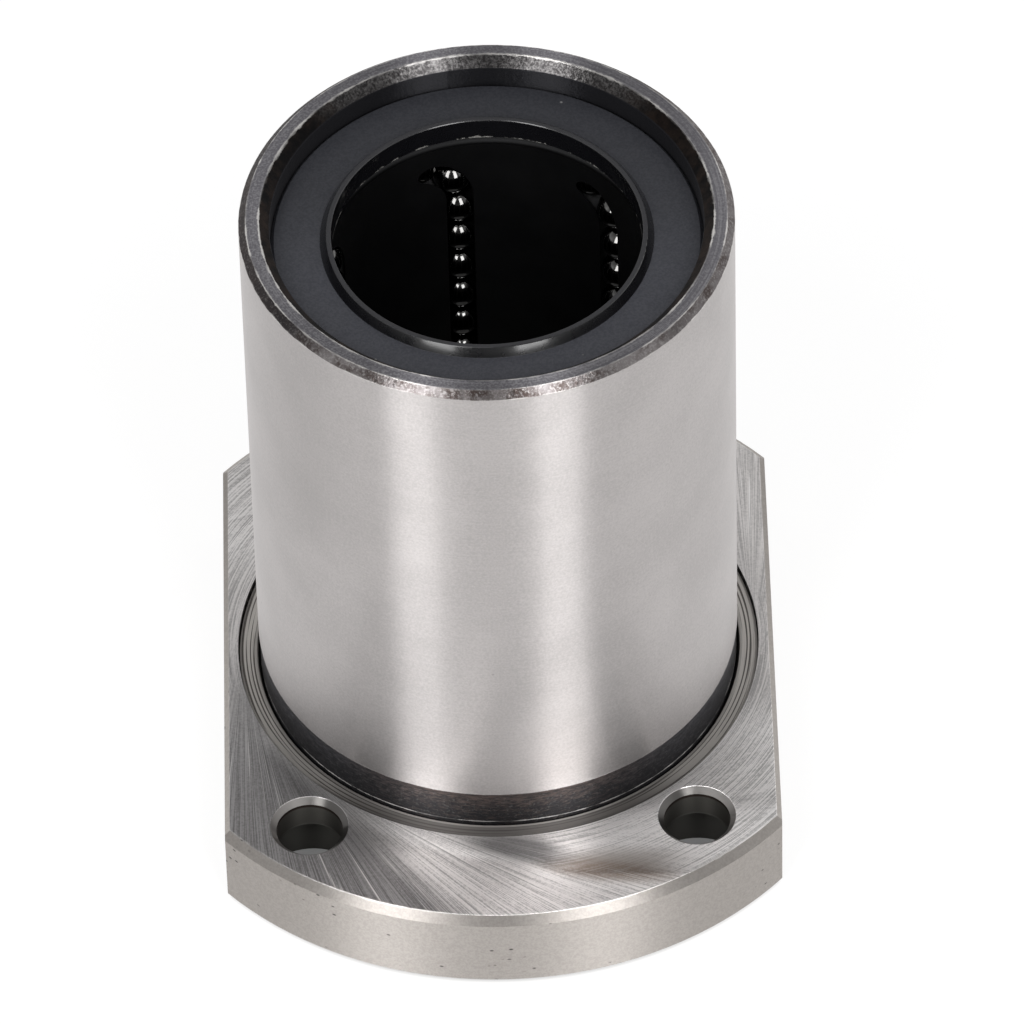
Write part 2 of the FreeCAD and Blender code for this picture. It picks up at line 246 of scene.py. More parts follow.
# scattered small specks or pits, in clusters
clusters = {"size": (210.0, 2.0), "edge": (0.0, 0.08), "spotEdge": (0.4, 1.0, 1.0, 0.0)}
specks, given, wanted = newGroup(
    "specks", {"Place": "Vector", "Scale": "Float", "Size": "Float", "Sparse": "Float"}, {"Mask": "Float"})
cells = specks.nodes.new("ShaderNodeTexVoronoi")
feed(specks, cells.inputs["Vector"], given["Place"])
feed(specks, cells.inputs["Scale"], given["Scale"])
chosen = calc(specks, "SUBTRACT", noise(specks, given["Place"], *clusters["size"]), given["Sparse"])
inCluster = ramp(specks, chosen, *clusters["edge"])
spot = ramp(specks, calc(specks, "DIVIDE", cells.outputs["Distance"], given["Size"]), *clusters["spotEdge"])
feed(specks, wanted["Mask"], product(specks, inCluster, spot))
print("shared effects built")


def mottleOn(tree, place, patchScale):
    return useGroup(tree, scaleMottle, **{"Place": place, "Patch Scale": patchScale})


def wornLine(tree, place, ring, atRadius, atHeight, width):
    return useGroup(tree, ringEdge, **{
        "Place": place, "Radius": ring["Radius"], "Height": ring["Height"], "At Radius": atRadius,
        "At Height": atHeight, "Width": width})["Mask"]


def outFromAxis(tree, place):  # direction straight out from the bearing's axis
    return vecCalc(tree, "NORMALIZE", vecCalc(tree, "MULTIPLY", place, levelOnly))


def acrossLines(tree, along):  # tangent that spreads a highlight across lines which run along a direction
    surface = tree.nodes.new("ShaderNodeNewGeometry").outputs["Normal"]
    return vecCalc(tree, "CROSS_PRODUCT", along, surface)


# hardened sleeve: ground outside, dark scale on neck, rims and bore
sleeveLook = {
    # colours
    "ground": (0.43, 0.409, 0.403, 1), "groundPale": (0.542, 0.515, 0.508, 1),
    "mark": (0.3, 0.285, 0.28, 1), "scale": (0.05, 0.045, 0.047, 1), "scaleDull": (0.066, 0.056, 0.055, 1),
    "scaleBrown": (0.11, 0.085, 0.078, 1), "fleck": (0.26, 0.245, 0.24, 1),
    "scaleHighlight": (0.34, 0.315, 0.315, 1), "fleckHighlight": (0.5, 0.475, 0.47, 1), "worn": (0.72, 0.7, 0.68, 1),
    "mouth": (0.012, 0.0115, 0.012, 1), "mouthBrown": (0.036, 0.027, 0.023, 1),
    "mouthHighlight": (0.07, 0.066, 0.067, 1), "mouthFleck": (0.28, 0.271, 0.269, 1),
    "neck": (0.02, 0.0195, 0.0215, 1), "neckRust": (0.092, 0.069, 0.062, 1),
    "neckGrey": (0.06, 0.058, 0.064, 1), "neckFleck": (0.3, 0.29, 0.285, 1),
    "inside": (0.016, 0.016, 0.019, 1), "rim": (0.16, 0.155, 0.17, 1), "rimPale": (0.28, 0.273, 0.288, 1),
    "scaleRoughness": 0.42, "rimRoughness": 0.38, "wallRoughness": (0.3, 0.7, 0.3, 0.33), "scaleMetal": 0.7,
    # sizes in millimetres
    "length": 59.0, "chamfer": 0.6, "neckFoot": 7.75, "neckRadius": 19.9, "outer": 20.0,
    "rimOuter": 19.4, "rimInner": 18.35,
    # where each zone begins and ends, in millimetres
    "outside": (19.8, 19.88), "wallEnds": (11.2, 58.38, 0.03),
    "neckFrom": (19.0, 19.2), "neckBelow": (11.2, 11.1), "lowNeck": (8.35, 11.2, -0.1, 0.06),
    "rimFlat": (18.35, 19.4, 0.03), "rimAbove": (58.9, 58.97), "insideFrom": (17.56, 17.52),
    "mouthFrom": (18.45, 18.35), "mouthBack": (11.0, 16.5), "chamferHighlightFront": (-11.0, -16.0),
    "chamferHighlightRight": (11.0, 17.0, 0.0, 0.55), "rustMiddle": (15.0, 5.0),
    "streakedRight": (2.0, 12.0, 0.35, 0.6), "lowWall": (40.0, 14.0), "frontWall": (-4.0, -8.0),
    "tarnishWide": (-17.2, -12.5, 2.0), "tarnishHigh": (32.0, 42.0, 0.0, 0.22),
    # how noise is sized and cut into patches
    "patchScale": 520.0, "patchCut": (0.38, 0.68), "fineGrain": 0.65, "fleckCut": (0.46, 0.7),
    "fleckShare": 0.45, "mouthCut": (0.38, 0.7), "rimSpacing": 0.13, "rimCut": (0.4, 0.64),
    "neckStretch": (1.0, 1.0, 4.0), "neckNoise": (1300.0, 4.0, 0.7), "rustCut": (0.36, 0.72),
    "neckFleckCut": (0.5, 0.75, 0.0, 0.2), "cloud": (160.0, 3.0), "wallSpacing": 0.1,
    "cloudShare": 0.33, "grainShare": 0.52, "lineShare": 0.15, "wallCut": (0.32, 0.68),
    "specks": {"Scale": 420.0, "Size": 0.07, "Sparse": 0.5},
    "fleckBump": 0.6, "wallBump": 0.06, "bump": (0.6, 0.00006),
    "wornWidths": {"rimInner": 0.14, "rimOuter": 0.09, "outer": 0.08, "neckFoot": 0.07},
}


def sleeveFinish(look):
    finish, tree, shader, place = newFinish("sleeveSteel", Anisotropic=1.0)
    ring = useGroup(tree, ringPlace, Place=place)
    radius, height, around = ring["Radius"], ring["Height"], ring["Round"]
    sideways = mmAlong(tree, place, axisX)
    backward = mmAlong(tree, place, axisY)
    wall = product(tree, ramp(tree, radius, *look["outside"]), band(tree, height, *look["wallEnds"]))
    neck = product(tree, ramp(tree, radius, *look["neckFrom"]), ramp(tree, height, *look["neckBelow"]))
    flat = product(tree, band(tree, radius, *look["rimFlat"]), ramp(tree, height, *look["rimAbove"]))
    inside = ramp(tree, radius, *look["insideFrom"])
    mottle = mottleOn(tree, place, look["patchScale"])
    fine = blendValue(tree, look["fineGrain"], mottle["Flecks"], mottle["Grain"])
    flecks = ramp(tree, fine, *look["fleckCut"])
    patchy = ramp(tree, mottle["Patches"], *look["patchCut"])
    # the outer chamfer is painted lighter in front and at the right, the mouth only at the back: painted
    # highlights where they face the lamps, over the real patchy scale
    color = blendColor(tree, patchy, look["scale"], look["scaleDull"])
    color = blendColor(tree, product(tree, flecks, look["fleckShare"]), color, look["fleck"])
    chamferHighlightFront = ramp(tree, backward, *look["chamferHighlightFront"])
    chamferHighlight = larger(tree, chamferHighlightFront, ramp(tree, sideways, *look["chamferHighlightRight"]))
    chamferHighlightColor = blendColor(tree, patchy, look["scaleHighlight"], look["scaleBrown"])
    chamferHighlightColor = blendColor(tree, flecks, chamferHighlightColor, look["fleckHighlight"])
    color = blendColor(tree, chamferHighlight, color, chamferHighlightColor)
    mouthColor = blendColor(tree, patchy, look["mouth"], look["mouthBrown"])
    mouthHighlight = blendColor(tree, ramp(tree, fine, *look["mouthCut"]), look["mouthHighlight"], look["mouthFleck"])
    mouthColor = blendColor(tree, ramp(tree, backward, *look["mouthBack"]), mouthColor, mouthHighlight)
    color = blendColor(tree, ramp(tree, radius, *look["mouthFrom"]), color, mouthColor)
    # the neck is brown in front and grey at the sides
    streaked = noise(tree, vecCalc(tree, "MULTIPLY", place, look["neckStretch"]), *look["neckNoise"])
    streaked = calc(tree, "ADD", streaked, ramp(tree, height, *look["lowNeck"]))
    inMiddle = ramp(tree, calc(tree, "ABSOLUTE", sideways), *look["rustMiddle"])
    rust = blendColor(tree, inMiddle, look["neckGrey"], look["neckRust"])
    neckColor = blendColor(tree, ramp(tree, streaked, *look["rustCut"]), look["neck"], rust)
    neckColor = blendColor(tree, ramp(tree, fine, *look["neckFleckCut"]), neckColor, look["neckFleck"])
    color = blendColor(tree, neck, color, neckColor)
    color = blendColor(tree, inside, color, look["inside"])
    # the rim is grainy, and at the right streaked along the ring
    rings = useGroup(tree, turnedLines, Along=radius, Round=around, Spacing=look["rimSpacing"])["Lines"]
    streaky = blendValue(tree, ramp(tree, sideways, *look["streakedRight"]), mottle["Grain"], rings)
    rimColor = blendColor(tree, ramp(tree, streaky, *look["rimCut"]), look["rim"], look["rimPale"])
    color = blendColor(tree, flat, color, rimColor)
    # ground wall with a tarnished upper left and small marks towards the flange
    cloud = noise(tree, place, *look["cloud"])
    lathed = useGroup(tree, turnedLines, Along=height, Round=around, Spacing=look["wallSpacing"])["Lines"]
    wallMarks = weighed(
        tree, (cloud, look["cloudShare"]), (mottle["Grain"], look["grainShare"]),
        (lathed, look["lineShare"]))
    pale = ramp(tree, wallMarks, *look["wallCut"])
    color = blendColor(tree, wall, color, blendColor(tree, pale, look["ground"], look["groundPale"]))
    tarnished = product(
        tree, band(tree, sideways, *look["tarnishWide"]), ramp(tree, height, *look["tarnishHigh"]),
        ramp(tree, backward, *look["frontWall"]), wall)
    color = blendColor(tree, tarnished, color, look["mark"])
    marked = useGroup(tree, specks, Place=place, **look["specks"])["Mask"]
    marked = product(tree, marked, ramp(tree, height, *look["lowWall"]), wall)
    color = blendColor(tree, marked, color, look["mark"])
    edges = {
        "rimInner": (look["rimInner"], look["length"]), "rimOuter": (look["rimOuter"], look["length"]),
        "outer": (look["outer"], look["length"] - look["chamfer"]),
        "neckFoot": (look["neckRadius"], look["neckFoot"]),
    }
    for edge, (atRadius, atHeight) in edges.items():
        worn = wornLine(tree, place, ring, atRadius, atHeight, look["wornWidths"][edge])
        color = blendColor(tree, worn, color, look["worn"])
    feed(tree, shader["Base Color"], color)
    feed(tree, shader["Metallic"], blendValue(tree, larger(tree, neck, inside), 1.0, look["scaleMetal"]))
    rough = blendValue(tree, flat, look["scaleRoughness"], look["rimRoughness"])
    rough = blendValue(tree, wall, rough, ramp(tree, wallMarks, *look["wallRoughness"]))
    feed(tree, shader["Roughness"], rough)
    scaleHeight = calc(tree, "ADD", mottle["Patches"], product(tree, mottle["Flecks"], look["fleckBump"]))
    heightMap = blendValue(tree, wall, scaleHeight, product(tree, mottle["Grain"], look["wallBump"]))
    feed(tree, shader["Normal"], bumpFrom(tree, heightMap, *look["bump"]))
    spin = vecCalc(tree, "CROSS_PRODUCT", axisZ, outFromAxis(tree, place))
    feed(tree, shader["Tangent"], acrossLines(tree, spin))
    return finish


dress(sleeveFinish(sleeveLook), "outer_sleeve")
print("sleeve dressed")

# flange: ground faces with swirl marks, turned relief, matte sides
flangeLook = {
    # colours
    "ground": (0.7, 0.672, 0.66, 1), "groundDark": (0.4, 0.388, 0.385, 1), "score": (0.86, 0.84, 0.83, 1),
    "paintedHighlight": (0.97, 0.945, 0.936, 1), "paintedHighlightDark": (0.48, 0.467, 0.462, 1),
    "shadeLeft": (0.38, 0.371, 0.374, 1), "shadeLeftDark": (0.2, 0.194, 0.194, 1),
    "relief": (0.7, 0.665, 0.63, 1), "reliefDark": (0.17, 0.155, 0.145, 1),
    "reliefShade": (0.17, 0.158, 0.15, 1), "reliefLine": (0.5, 0.475, 0.45, 1),
    "gutterShade": (0.012, 0.011, 0.011, 1), "side": (0.4, 0.371, 0.348, 1), "sidePale": (0.46, 0.43, 0.405, 1),
    "pit": (0.1, 0.095, 0.09, 1), "hole": (0.07, 0.067, 0.061, 1), "holeRing": (0.028, 0.021, 0.018, 1),
    "boreWall": (0.095, 0.092, 0.085, 1), "holeEdge": (0.2, 0.192, 0.185, 1), "worn": (0.66, 0.64, 0.62, 1),
    "faceRoughness": (0.3, 0.7, 0.42, 0.33), "reliefRoughness": 0.5, "sideRoughness": 0.46,
    "holeRoughness": 0.8,
    # soft oval patches on the upper face, in metres: two directions divided by their half sizes
    "haze": {
        "color": (0.4, 0.366, 0.34, 1), "at": (0.0094, -0.0249, 0.008),
        "along": (150.0, 0.0, 0.0), "across": (0.0, 480.0, 0.0), "fade": (1.1, 0.2, 0.0, 0.8),
    },
    "stain": {
        "color": (0.245, 0.196, 0.163, 1), "at": (0.0087, -0.0258, 0.008),
        "along": (128.0, -17.0, 0.0), "across": (93.0, 600.0, 0.0), "fade": (1.1, 0.2, 0.0, 1.0),
    },
    "neckReflection": {
        "color": (0.12, 0.118, 0.121, 1), "at": (0.0012, -0.0231, 0.008),
        "along": (192.0, -54.0, 0.0), "across": (150.0, 540.0, 0.0), "fade": (1.2, 0.4, 0.0, 0.72),
    },
    # sizes in millimetres
    "thickness": 8.0, "foot": 19.9, "holeX": 16.0, "holeY": 20.0, "swirlTouch": 21.3, "arcEdge": 30.3,
    "toolStep": 0.32, "nickWidth": 0.13,
    # where each zone begins and ends, in millimetres
    "upperFace": (7.94, 7.98), "endFace": (0.04, 0.01),
    "reliefWithin": (21.79, 21.77), "reliefAbove": (6.8, 7.0),
    "outerGutter": (21.65, 21.73), "innerGutter": (20.2, 20.1), "lineRing": (20.22, 20.4, 0.05),
    "arcsRight": (1.5, 5.0), "arcsDeep": (-25.9, 4.0, 0.8),
    "arcsLeft": (3.0, -3.0), "arcsBack": (-8.0, 2.0),
    "highlightFront": (-5.0, -12.0), "highlightBack": (6.0, 13.0, 0.0, 0.55),
    "reliefShadeFront": (-14.0, -19.0, 0.0, 0.85),
    "shadeAxis": (0.8, 0.6, 0.0), "shadeCorner": (-19.8, -23.0), "shadeSide": (-18.0, -20.5),
    "shadeDeep": (7.0, -16.0, 0.0, 0.97), "bendRight": (5.5, 13.0), "bendFront": (-17.0, -20.0, 0.0, 0.6),
    "bendRelief": (22.6, 25.0), "holeWithin": (2.78, 2.76), "holeBelow": (7.5, 7.48),
    "boreWithin": (4.6, 4.55), "boreBelow": (5.3, 5.2),
    "mouthWithin": (3.27, 3.23), "mouthBelow": (7.97, 7.94), "holeRingHigh": (7.2, 7.5, 0.06),
    # how noise is sized and cut into marks
    "arcLength": 1.5, "arcSpacing": 0.085, "scratchShare": 0.76, "streakShare": 0.24, "patchScale": 300.0,
    "breakUp": 0.22, "lineCut": (0.38, 0.6), "highlightCut": (0.37, 0.56), "stainCut": (0.42, 0.6, 0.95, 0.6),
    "scoreCut": (0.64, 0.74, 0.0, 0.8), "sideGrain": 0.6, "sideCut": (0.38, 0.62),
    "pitStretch": (1.0, 1.0, 1.8), "pits": {"Scale": 900.0, "Size": 0.21, "Sparse": 0.545},
    "ringSpacing": 0.12, "ringWave": 0.12, "ringCut": (0.38, 0.47),
    "sideBump": 0.3, "scratchBump": 2.0, "bump": (0.3, 0.00003),
}


def ovalPatch(tree, place, patch):
    offset = vecCalc(tree, "SUBTRACT", place, patch["at"])
    lengthwise = vecCalc(tree, "DOT_PRODUCT", offset, patch["along"])
    crosswise = vecCalc(tree, "DOT_PRODUCT", offset, patch["across"])
    return ramp(tree, vecCalc(tree, "LENGTH", joinXyz(tree, lengthwise, crosswise, 0.0)), *patch["fade"])


def flangeFinish(look):
    finish, tree, shader, place = newFinish("flangeSteel", Metallic=1.0, Anisotropic=0.9)
    ring = useGroup(tree, ringPlace, Place=place)
    radius, height, around = ring["Radius"], ring["Height"], ring["Round"]
    sideways = mmAlong(tree, place, axisX)
    backward = mmAlong(tree, place, axisY)
    face = ramp(tree, height, *look["upperFace"])
    under = ramp(tree, height, *look["endFace"])
    ground = larger(tree, face, under)
    inRelief = product(
        tree, ramp(tree, radius, *look["reliefWithin"]), ramp(tree, height, *look["reliefAbove"]))
    # arcs at the right and the left back, elsewhere straight scratches that fan out
    rightFront = product(
        tree, ramp(tree, sideways, *look["arcsRight"]), band(tree, backward, *look["arcsDeep"]))
    leftBack = product(
        tree, ramp(tree, sideways, *look["arcsLeft"]), ramp(tree, backward, *look["arcsBack"]))
    rounded = larger(tree, rightFront, leftBack)
    swirl = useGroup(tree, grindSwirl, Radius=radius, Round=around, Touch=look["swirlTouch"])
    arcRound = scaled(tree, around, look["arcLength"])
    arcs = useGroup(tree, turnedLines, Along=radius, Round=arcRound, Spacing=look["arcSpacing"])["Lines"]
    scratches = blendValue(tree, rounded, swirl["Scratches"], arcs)
    grain = mottleOn(tree, place, look["patchScale"])
    grainy = calc(tree, "SUBTRACT", grain["Grain"], 0.5)
    marks = weighed(
        tree, (scratches, look["scratchShare"]), (swirl["Streaks"], look["streakShare"]),
        (grainy, look["breakUp"]))
    lined = ramp(tree, marks, *look["lineCut"])
    plainFace = blendColor(tree, lined, look["groundDark"], look["ground"])
    # painted highlight in front and at the left back, painted shade at the left, a brown stain, and a
    # painted reflection of the dark neck in front
    highlightBack = product(tree, leftBack, ramp(tree, backward, *look["highlightBack"]))
    paintedHighlight = larger(tree, ramp(tree, backward, *look["highlightFront"]), highlightBack)
    highlightLined = ramp(tree, marks, *look["highlightCut"])
    highlightColor = blendColor(tree, highlightLined, look["paintedHighlightDark"], look["paintedHighlight"])
    faceColor = blendColor(tree, paintedHighlight, plainFace, highlightColor)
    # painted shade: the left side and the left front corner of the face are darker
    toCorner = ramp(tree, mmAlong(tree, place, look["shadeAxis"]), *look["shadeCorner"])
    shadeLeft = larger(tree, toCorner, ramp(tree, sideways, *look["shadeSide"]))
    shadeLeft = product(tree, shadeLeft, ramp(tree, backward, *look["shadeDeep"]))
    faceColor = blendColor(tree, shadeLeft, faceColor, blendColor(tree, lined, look["shadeLeftDark"], look["shadeLeft"]))
    faceColor = blendColor(tree, ovalPatch(tree, place, look["haze"]), faceColor, look["haze"]["color"])
    stained = product(tree, ovalPatch(tree, place, look["stain"]), ramp(tree, marks, *look["stainCut"]))
    faceColor = blendColor(tree, stained, faceColor, look["stain"]["color"])
    # painted reflection: a dark patch in front of the neck stands in for the neck's reflection
    faceColor = blendColor(tree, ovalPatch(tree, place, look["neckReflection"]), faceColor, look["neckReflection"]["color"])
    scored = product(tree, ramp(tree, swirl["Scores"], *look["scoreCut"]), oneMinus(tree, rounded))
    faceColor = blendColor(tree, scored, faceColor, look["score"])
    # matte pitted sides, and nicks along the arcs' upper edge
    sideMarks = blendValue(tree, look["sideGrain"], grain["Flecks"], grain["Grain"])
    sideColor = blendColor(tree, ramp(tree, sideMarks, *look["sideCut"]), look["side"], look["sidePale"])
    pits = useGroup(
        tree, specks, Place=vecCalc(tree, "MULTIPLY", place, look["pitStretch"]), **look["pits"])["Mask"]
    sideColor = blendColor(tree, pits, sideColor, look["pit"])
    color = blendColor(tree, under, blendColor(tree, face, sideColor, faceColor), plainFace)
    nick = wornLine(tree, place, ring, look["arcEdge"], look["thickness"], look["nickWidth"])
    color = blendColor(tree, nick, color, look["worn"])
    # turned relief round the neck, its rings hardly seen in front, where it is painted darker: painted
    # shade from the neck
    rings = useGroup(tree, turnedLines, Along=radius, Round=around, Spacing=look["ringSpacing"])["Lines"]
    turns = product(tree, calc(tree, "SUBTRACT", radius, look["foot"]), 2.0 * math.pi / look["toolStep"])
    rings = calc(tree, "ADD", rings, product(tree, calc(tree, "SINE", turns), look["ringWave"]))
    reliefColor = blendColor(tree, ramp(tree, rings, *look["ringCut"]), look["reliefDark"], look["relief"])
    # painted shade: a darker plain colour in front of the neck
    plain = ramp(tree, backward, *look["reliefShadeFront"])
    reliefColor = blendColor(tree, plain, reliefColor, look["reliefShade"])
    # painted shade: near black in the groove at the relief's rim and in the joint at the neck's foot
    gutter = larger(
        tree, ramp(tree, radius, *look["outerGutter"]), ramp(tree, radius, *look["innerGutter"]))
    reliefColor = blendColor(tree, gutter, reliefColor, look["gutterShade"])
    reliefColor = blendColor(tree, band(tree, radius, *look["lineRing"]), reliefColor, look["reliefLine"])
    color = blendColor(tree, inRelief, color, reliefColor)
    # the four bolt holes lie alike in each quarter
    quarter = vecCalc(tree, "ABSOLUTE", scaled(tree, place, toMm))
    offset = vecCalc(tree, "SUBTRACT", quarter, (look["holeX"], look["holeY"], 0.0))
    away = vecCalc(tree, "LENGTH", vecCalc(tree, "MULTIPLY", offset, levelOnly))
    mouth = product(tree, ramp(tree, away, *look["mouthWithin"]), ramp(tree, height, *look["mouthBelow"]))
    bored = product(tree, ramp(tree, away, *look["boreWithin"]), ramp(tree, height, *look["boreBelow"]))
    hole = product(tree, ramp(tree, away, *look["holeWithin"]), ramp(tree, height, *look["holeBelow"]))
    hole = larger(tree, hole, bored)
    color = blendColor(tree, mouth, color, look["holeEdge"])
    holeColor = blendColor(tree, band(tree, height, *look["holeRingHigh"]), look["hole"], look["holeRing"])
    color = blendColor(tree, hole, color, blendColor(tree, bored, holeColor, look["boreWall"]))
    feed(tree, shader["Base Color"], color)
    rough = blendValue(tree, ground, look["sideRoughness"], ramp(tree, marks, *look["faceRoughness"]))
    rough = blendValue(tree, inRelief, rough, look["reliefRoughness"])
    feed(tree, shader["Roughness"], blendValue(tree, hole, rough, look["holeRoughness"]))
    sideHeight = calc(tree, "SUBTRACT", product(tree, grain["Grain"], look["sideBump"]), pits)
    heightMap = blendValue(tree, ground, sideHeight, product(tree, scratches, look["scratchBump"]))
    heightMap = blendValue(tree, inRelief, heightMap, rings)
    feed(tree, shader["Normal"], bumpFrom(tree, heightMap, *look["bump"]))
    # straight scratches leave the touching circle, so they lean out more with the distance from the axis
    outward = outFromAxis(tree, place)
    spin = vecCalc(tree, "CROSS_PRODUCT", axisZ, outward)
    reach = vecCalc(tree, "LENGTH", vecCalc(tree, "MULTIPLY", place, (toMm, toMm, 0.0)))
    cosine = calc(tree, "MINIMUM", calc(tree, "DIVIDE", look["swirlTouch"], reach), 1.0)
    onFace = ramp(tree, mmAlong(tree, place, axisZ), *look["upperFace"])
    bent = product(tree, ramp(tree, sideways, *look["bendRight"]), ramp(tree, backward, *look["bendFront"]))
    straight = product(tree, oneMinus(tree, rounded), ramp(tree, reach, *look["bendRelief"]))
    lean = product(tree, calc(tree, "ARCCOSINE", cosine), larger(tree, straight, bent), onFace)
    along = scaled(tree, spin, calc(tree, "COSINE", lean))
    along = vecCalc(tree, "ADD", along, scaled(tree, outward, calc(tree, "SINE", lean)))
    feed(tree, shader["Tangent"], acrossLines(tree, along))
    return finish


dress(flangeFinish(flangeLook), "mounting_flange")
print("flange dressed")

# seals: matte moulded rubber with an oily black lip
sealLook = {
    # colours
    "rubber": (0.021, 0.022, 0.0275, 1), "dusty": (0.03, 0.031, 0.0375, 1), "dust": (0.16, 0.16, 0.16, 1),
    "frontTone": (0.033, 0.0345, 0.0425, 1), "frontToneDusty": (0.046, 0.0475, 0.0575, 1),
    "lip": (0.004, 0.004, 0.005, 1), "crest": (0.02, 0.02, 0.023, 1), "grease": (0.2, 0.195, 0.185, 1),
    "rubberRoughness": (0.3, 0.7, 0.55, 0.68), "lipRoughness": (0.3, 0.7, 0.24, 0.32),
    "crestRoughness": 0.6, "greaseRoughness": 0.15,
    # where each zone begins and ends, in millimetres, heights from the bearing's middle
    "middle": 29.5, "inFront": (6.0, -5.0), "flankWithin": (13.54, 13.48), "flankAbove": (26.93, 26.97),
    "lipWithin": (12.67, 12.63), "crestAbove": (27.62, 27.66), "greaseFoot": 25.74,
    "greaseWithin": (12.65, 12.6), "greaseBelow": (0.05, -0.03),
    # how noise is sized and cut into patches
    "patchScale": 700.0, "grainCut": (0.35, 0.65),
    "dustSpecks": {"Scale": 480.0, "Size": 0.075, "Sparse": 0.5}, "greaseRise": (0.5, 0.75, 0.0, 0.3),
    "greaseCut": (0.5, 0.58), "greaseBump": 2.0, "bump": (0.15, 0.00003),
}


def sealFinish(look):
    finish, tree, shader, place = newFinish("sealRubber", Specular_IOR_Level=0.4, Coat_Roughness=0.13)
    ring = useGroup(tree, ringPlace, Place=place)
    radius = ring["Radius"]
    fromMiddle = calc(tree, "ABSOLUTE", calc(tree, "SUBTRACT", ring["Height"], look["middle"]))
    grain = mottleOn(tree, place, look["patchScale"])
    grainy = ramp(tree, grain["Grain"], *look["grainCut"])
    # the rubber is a little lighter towards the front
    inFront = ramp(tree, mmAlong(tree, place, axisY), *look["inFront"])
    color = blendColor(
        tree, inFront, blendColor(tree, grainy, look["rubber"], look["dusty"]),
        blendColor(tree, grainy, look["frontTone"], look["frontToneDusty"]))
    dust = useGroup(tree, specks, Place=place, **look["dustSpecks"])["Mask"]
    color = blendColor(tree, dust, color, look["dust"])
    # the lip is black and oily, its crest dry, and a little grease sits inside at its foot
    flank = product(
        tree, ramp(tree, radius, *look["flankWithin"]), ramp(tree, fromMiddle, *look["flankAbove"]))
    lip = larger(tree, flank, ramp(tree, radius, *look["lipWithin"]))
    crest = ramp(tree, fromMiddle, *look["crestAbove"])
    greaseTop = calc(tree, "ADD", look["greaseFoot"], ramp(tree, grain["Patches"], *look["greaseRise"]))
    underTop = ramp(tree, calc(tree, "SUBTRACT", fromMiddle, greaseTop), *look["greaseBelow"])
    grease = product(
        tree, underTop, ramp(tree, radius, *look["greaseWithin"]),
        ramp(tree, grain["Patches"], *look["greaseCut"]))
    color = blendColor(tree, lip, color, look["lip"])
    color = blendColor(tree, crest, color, look["crest"])
    color = blendColor(tree, grease, color, look["grease"])
    feed(tree, shader["Base Color"], color)
    lipRough = ramp(tree, grain["Patches"], *look["lipRoughness"])
    rough = blendValue(tree, lip, ramp(tree, grain["Patches"], *look["rubberRoughness"]), lipRough)
    rough = blendValue(tree, crest, rough, look["crestRoughness"])
    feed(tree, shader["Roughness"], blendValue(tree, grease, rough, look["greaseRoughness"]))
    feed(tree, shader["Coat Weight"], product(tree, flank, oneMinus(tree, crest)))
    heightMap = blendValue(tree, lip, grain["Grain"], product(tree, grease, look["greaseBump"]))
    feed(tree, shader["Normal"], bumpFrom(tree, heightMap, *look["bump"]))
    return finish


dress(sealFinish(sealLook), "upper_seal", "lower_seal")

# ball cage: black moulded resin with an oil film, a little paler in the tracks: painted light that lifts
# their shade
retainerLook = {
    "resin": (0.003, 0.003, 0.0032, 1), "pale": (0.005, 0.005, 0.0053, 1), "paintedLightTrack": (0.05, 0.05, 0.052, 1),
    "trackFrom": (13.0, 13.4), "roughness": (0.3, 0.7, 0.3, 0.45), "trackRoughness": 0.8,
    "patchScale": 260.0, "bump": (0.1, 0.00002),
}


def retainerFinish(look):
    finish, tree, shader, place = newFinish("retainerResin", Specular_IOR_Level=0.17)
    grain = mottleOn(tree, place, look["patchScale"])
    # painted light: the tracks round the balls are paler than the resin
    inTrack = ramp(tree, useGroup(tree, ringPlace, Place=place)["Radius"], *look["trackFrom"])
    color = blendColor(tree, grain["Patches"], look["resin"], look["pale"])
    feed(tree, shader["Base Color"], blendColor(tree, inTrack, color, look["paintedLightTrack"]))
    rough = ramp(tree, grain["Patches"], *look["roughness"])
    feed(tree, shader["Roughness"], blendValue(tree, inTrack, rough, look["trackRoughness"]))
    feed(tree, shader["Normal"], bumpFrom(tree, grain["Grain"], *look["bump"]))
    return finish


dress(retainerFinish(retainerLook), "ball_retainer")

# retaining rings: dark spring wire
springLook = {
    "steel": (0.16, 0.155, 0.15, 1), "dark": (0.05, 0.048, 0.046, 1), "roughness": (0.3, 0.7, 0.3, 0.42),
    "patchScale": 500.0, "bump": (0.1, 0.00002),
}


def springFinish(look):
    finish, tree, shader, place = newFinish("springSteel", Metallic=1.0)
    grain = mottleOn(tree, place, look["patchScale"])
    feed(tree, shader["Base Color"], blendColor(tree, grain["Patches"], look["steel"], look["dark"]))
    feed(tree, shader["Roughness"], ramp(tree, grain["Grain"], *look["roughness"]))
    feed(tree, shader["Normal"], bumpFrom(tree, grain["Grain"], *look["bump"]))
    return finish


dress(springFinish(springLook), "upper_retaining_ring", "lower_retaining_ring")

# balls: polished bearing steel under a film of dark oil
ballLook = {
    "steel": (0.22, 0.22, 0.22, 1), "oily": (0.09, 0.086, 0.08, 1), "roughness": (0.35, 0.7, 0.06, 0.13),
    "patchScale": 800.0,
}


def ballFinish(look):
    finish, tree, shader, place = newFinish("ballSteel", Metallic=1.0)
    film = mottleOn(tree, place, look["patchScale"])
    feed(tree, shader["Base Color"], blendColor(tree, film["Patches"], look["steel"], look["oily"]))
    feed(tree, shader["Roughness"], ramp(tree, film["Patches"], *look["roughness"]))
    return finish


dress(ballFinish(ballLook), "loaded_balls", "return_balls", "upper_turn_balls", "lower_turn_balls")
print("seals, cage, rings and balls dressed")

